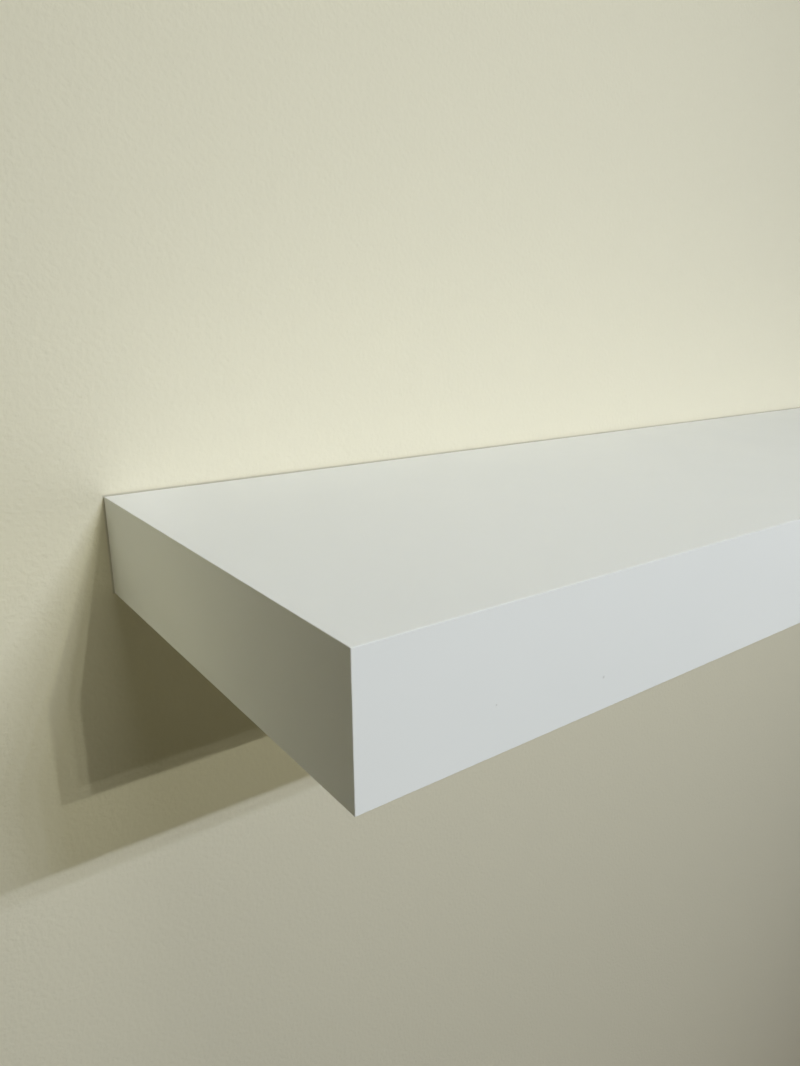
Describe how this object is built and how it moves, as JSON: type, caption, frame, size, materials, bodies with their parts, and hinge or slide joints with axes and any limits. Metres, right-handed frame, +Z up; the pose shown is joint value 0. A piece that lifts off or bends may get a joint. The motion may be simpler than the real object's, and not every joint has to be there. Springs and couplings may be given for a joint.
{
  "type": "floating wall shelf",
  "caption": "Thick white-painted box shelf that slides over the rods of a hidden wall bracket and is locked from below, so no fixing shows.",
  "frame": {"origin": "on the wall plane, at the middle of the bracket plate's back face, level with the middle of the shelf's thickness", "axes": "+X along the shelf to the right of someone facing it, +Y into the wall, +Z up"},
  "size_m": [0.9, 0.251, 0.055],
  "materials": {
    "painted_board": "satin",
    "frame_timber": "matte",
    "dowel_beech": "matte",
    "insert_brass": "satin",
    "screw_steel": "satin",
    "bracket_coating": "matte",
    "rod_steel": "satin"
  },
  "bodies": {
    "bracket": {"wall_plate": "bracket_coating", "support_rod_1": "rod_steel", "support_rod_2": "rod_steel", "support_rod_3": "rod_steel", "support_rod_4": "rod_steel", "rod_screws": "screw_steel"},
    "shelf_box": {"top_panel": "painted_board", "bottom_panel": "painted_board", "front_panel": "painted_board", "left_end_panel": "painted_board", "right_end_panel": "painted_board", "back_rail": "frame_timber", "middle_rail": "frame_timber", "front_batten": "frame_timber", "left_end_batten": "frame_timber", "right_end_batten": "frame_timber", "rear_rib_1": "frame_timber", "rear_rib_2": "frame_timber", "rear_rib_3": "frame_timber", "front_rib_1": "frame_timber", "front_rib_2": "frame_timber", "front_rib_3": "frame_timber", "core_dowels": "dowel_beech", "left_lock_insert": "insert_brass", "right_lock_insert": "insert_brass"},
    "left_lock": {"left_lock_screw": "screw_steel"},
    "right_lock": {"right_lock_screw": "screw_steel"}
  },
  "joints": [
    {"name": "box_slide", "type": "slide", "parent": "bracket", "child": "shelf_box", "axis": [0, -1, 0], "range_m": [0, 0.2]},
    {"name": "left_lock_travel", "type": "slide", "parent": "shelf_box", "child": "left_lock", "axis": [0, 0, -1], "range_m": [0, 0.004]},
    {"name": "right_lock_travel", "type": "slide", "parent": "shelf_box", "child": "right_lock", "axis": [0, 0, -1], "range_m": [0, 0.004]}
  ]
}
